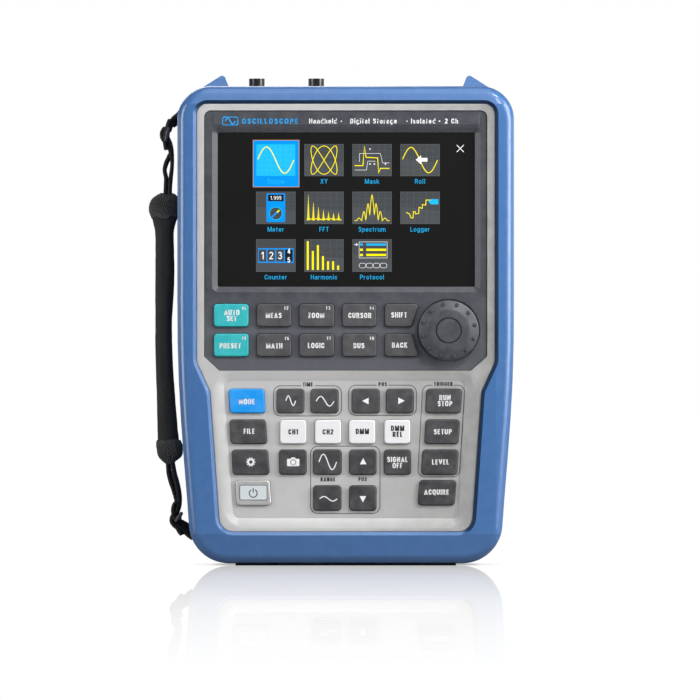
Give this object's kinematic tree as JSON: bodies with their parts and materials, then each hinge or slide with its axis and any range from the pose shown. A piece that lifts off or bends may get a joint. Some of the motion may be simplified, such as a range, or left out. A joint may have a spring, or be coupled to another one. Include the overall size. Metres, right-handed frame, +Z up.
{
  "type": "handheld oscilloscope",
  "caption": "Hand-held two-channel oscilloscope with a colour touch screen, rubber keys, a push-and-turn knob, guarded top connectors, side hand strap and a folding rear stand.",
  "frame": {"origin": "centre of the resting plane under the feet, at the case's mid-depth", "axes": "+Z up, front with the screen faces -Y, +X to the right seen from the front"},
  "size_m": [0.2185, 0.074, 0.2939],
  "materials": {
    "case_blue": "fine-textured moulded plastic, satin",
    "bezel_silver": "satin silver lacquer",
    "panel_dark": "dark grey, fine texture",
    "screen_glass": "smooth black glass",
    "module_metal": "plain",
    "mat_rubber": "translucent grey silicone",
    "board_green": "solder resist",
    "connector_black": "insulated moulding",
    "battery_dark": "plain",
    "cover_grey": "fine texture",
    "steel": "plain",
    "encoder_metal": "plain",
    "nylon_white": "plain",
    "knob_black": "soft-touch satin",
    "flap_rubber": "matt",
    "strap_fabric": "woven sleeve",
    "strap_web": "ribbed webbing",
    "strap_plastic": "moulded buckle",
    "key_dark": "soft-touch key",
    "key_teal": "soft-touch key",
    "key_blue": "soft-touch key",
    "key_white": "soft-touch key",
    "key_silver": "satin silver frame round a lit window"
  },
  "bodies": {
    "root": {"front_housing": "case_blue", "rear_housing": "case_blue", "control_bezel": "bezel_silver", "display_bezel": "panel_dark", "touch_glass": "screen_glass", "lcd_module": "module_metal", "keypad_mat": "mat_rubber", "keypad_board": "board_green", "main_board": "board_green", "shield_cans": "module_metal", "bnc_inputs": "connector_black", "meter_sockets": "connector_black", "side_port_connectors": "module_metal", "battery_pack": "battery_dark", "battery_door": "cover_grey", "case_screws": "steel", "stand_hinge_pins": "steel", "rubber_feet": "flap_rubber", "strap_grip": "strap_fabric", "strap_webbing": "strap_web", "strap_buckles": "strap_plastic", "encoder_body": "encoder_metal"},
    "encoder_rotor": {"encoder_rotor": "nylon_white"},
    "knob": {"knob_dial": "knob_black", "encoder_shaft": "steel"},
    "tilt_stand": {"tilt_stand": "cover_grey"},
    "port_flap_left": {"port_flap_left": "flap_rubber"},
    "port_flap_right": {"port_flap_right": "flap_rubber"},
    "key_auto_set": {"key_auto_set": "key_teal"},
    "key_meas": {"key_meas": "key_dark"},
    "key_zoom": {"key_zoom": "key_dark"},
    "key_cursor": {"key_cursor": "key_dark"},
    "key_shift": {"key_shift": "key_dark"},
    "key_preset": {"key_preset": "key_teal"},
    "key_math": {"key_math": "key_dark"},
    "key_logic": {"key_logic": "key_dark"},
    "key_bus": {"key_bus": "key_dark"},
    "key_back": {"key_back": "key_dark"},
    "key_mode": {"key_mode": "key_blue"},
    "key_time_fine": {"key_time_fine": "key_dark"},
    "key_time_coarse": {"key_time_coarse": "key_dark"},
    "key_position_left": {"key_position_left": "key_dark"},
    "key_position_right": {"key_position_right": "key_dark"},
    "key_run_stop": {"key_run_stop": "key_dark"},
    "key_file": {"key_file": "key_dark"},
    "key_ch1": {"key_ch1": "key_white"},
    "key_ch2": {"key_ch2": "key_white"},
    "key_dmm": {"key_dmm": "key_white"},
    "key_dmm_rel": {"key_dmm_rel": "key_white"},
    "key_setup": {"key_setup": "key_dark"},
    "key_settings": {"key_settings": "key_dark"},
    "key_camera": {"key_camera": "key_dark"},
    "key_range_up": {"key_range_up": "key_dark"},
    "key_position_up": {"key_position_up": "key_dark"},
    "key_signal_off": {"key_signal_off": "key_dark"},
    "key_level": {"key_level": "key_dark"},
    "key_power": {"key_power": "key_silver"},
    "key_range_down": {"key_range_down": "key_dark"},
    "key_position_down": {"key_position_down": "key_dark"},
    "key_acquire": {"key_acquire": "key_dark"}
  },
  "joints": [
    {"name": "knob_turn", "type": "hinge", "parent": "root", "child": "encoder_rotor", "pos_m": [0.0616, -0.023, 0.1406], "axis": [0, -1, 0], "continuous": true},
    {"name": "knob_push", "type": "slide", "parent": "encoder_rotor", "child": "knob", "axis": [0, 1, 0], "range_m": [0, 0.0005]},
    {"name": "stand_fold", "type": "hinge", "parent": "root", "child": "tilt_stand", "pos_m": [0, 0.034, 0.176], "axis": [1, 0, 0], "range_deg": [0, 55]},
    {"name": "flap_left_open", "type": "hinge", "parent": "root", "child": "port_flap_left", "pos_m": [-0.0995, 0.0206, 0.181], "axis": [0, 0, -1], "range_deg": [0, 100]},
    {"name": "flap_right_open", "type": "hinge", "parent": "root", "child": "port_flap_right", "pos_m": [0.0995, 0.0206, 0.181], "axis": [0, 0, 1], "range_deg": [0, 100]},
    {"name": "press_auto_set", "type": "slide", "parent": "root", "child": "key_auto_set", "axis": [0, 1, 0], "range_m": [0, 0.0008]},
    {"name": "press_meas", "type": "slide", "parent": "root", "child": "key_meas", "axis": [0, 1, 0], "range_m": [0, 0.0008]},
    {"name": "press_zoom", "type": "slide", "parent": "root", "child": "key_zoom", "axis": [0, 1, 0], "range_m": [0, 0.0008]},
    {"name": "press_cursor", "type": "slide", "parent": "root", "child": "key_cursor", "axis": [0, 1, 0], "range_m": [0, 0.0008]},
    {"name": "press_shift", "type": "slide", "parent": "root", "child": "key_shift", "axis": [0, 1, 0], "range_m": [0, 0.0008]},
    {"name": "press_preset", "type": "slide", "parent": "root", "child": "key_preset", "axis": [0, 1, 0], "range_m": [0, 0.0008]},
    {"name": "press_math", "type": "slide", "parent": "root", "child": "key_math", "axis": [0, 1, 0], "range_m": [0, 0.0008]},
    {"name": "press_logic", "type": "slide", "parent": "root", "child": "key_logic", "axis": [0, 1, 0], "range_m": [0, 0.0008]},
    {"name": "press_bus", "type": "slide", "parent": "root", "child": "key_bus", "axis": [0, 1, 0], "range_m": [0, 0.0008]},
    {"name": "press_back", "type": "slide", "parent": "root", "child": "key_back", "axis": [0, 1, 0], "range_m": [0, 0.0008]},
    {"name": "press_mode", "type": "slide", "parent": "root", "child": "key_mode", "axis": [0, 1, 0], "range_m": [0, 0.0008]},
    {"name": "press_time_fine", "type": "slide", "parent": "root", "child": "key_time_fine", "axis": [0, 1, 0], "range_m": [0, 0.0008]},
    {"name": "press_time_coarse", "type": "slide", "parent": "root", "child": "key_time_coarse", "axis": [0, 1, 0], "range_m": [0, 0.0008]},
    {"name": "press_position_left", "type": "slide", "parent": "root", "child": "key_position_left", "axis": [0, 1, 0], "range_m": [0, 0.0008]},
    {"name": "press_position_right", "type": "slide", "parent": "root", "child": "key_position_right", "axis": [0, 1, 0], "range_m": [0, 0.0008]},
    {"name": "press_run_stop", "type": "slide", "parent": "root", "child": "key_run_stop", "axis": [0, 1, 0], "range_m": [0, 0.0008]},
    {"name": "press_file", "type": "slide", "parent": "root", "child": "key_file", "axis": [0, 1, 0], "range_m": [0, 0.0008]},
    {"name": "press_ch1", "type": "slide", "parent": "root", "child": "key_ch1", "axis": [0, 1, 0], "range_m": [0, 0.0008]},
    {"name": "press_ch2", "type": "slide", "parent": "root", "child": "key_ch2", "axis": [0, 1, 0], "range_m": [0, 0.0008]},
    {"name": "press_dmm", "type": "slide", "parent": "root", "child": "key_dmm", "axis": [0, 1, 0], "range_m": [0, 0.0008]},
    {"name": "press_dmm_rel", "type": "slide", "parent": "root", "child": "key_dmm_rel", "axis": [0, 1, 0], "range_m": [0, 0.0008]},
    {"name": "press_setup", "type": "slide", "parent": "root", "child": "key_setup", "axis": [0, 1, 0], "range_m": [0, 0.0008]},
    {"name": "press_settings", "type": "slide", "parent": "root", "child": "key_settings", "axis": [0, 1, 0], "range_m": [0, 0.0008]},
    {"name": "press_camera", "type": "slide", "parent": "root", "child": "key_camera", "axis": [0, 1, 0], "range_m": [0, 0.0008]},
    {"name": "press_range_up", "type": "slide", "parent": "root", "child": "key_range_up", "axis": [0, 1, 0], "range_m": [0, 0.0008]},
    {"name": "press_position_up", "type": "slide", "parent": "root", "child": "key_position_up", "axis": [0, 1, 0], "range_m": [0, 0.0008]},
    {"name": "press_signal_off", "type": "slide", "parent": "root", "child": "key_signal_off", "axis": [0, 1, 0], "range_m": [0, 0.0008]},
    {"name": "press_level", "type": "slide", "parent": "root", "child": "key_level", "axis": [0, 1, 0], "range_m": [0, 0.0008]},
    {"name": "press_power", "type": "slide", "parent": "root", "child": "key_power", "axis": [0, 1, 0], "range_m": [0, 0.0008]},
    {"name": "press_range_down", "type": "slide", "parent": "root", "child": "key_range_down", "axis": [0, 1, 0], "range_m": [0, 0.0008]},
    {"name": "press_position_down", "type": "slide", "parent": "root", "child": "key_position_down", "axis": [0, 1, 0], "range_m": [0, 0.0008]},
    {"name": "press_acquire", "type": "slide", "parent": "root", "child": "key_acquire", "axis": [0, 1, 0], "range_m": [0, 0.0008]}
  ]
}
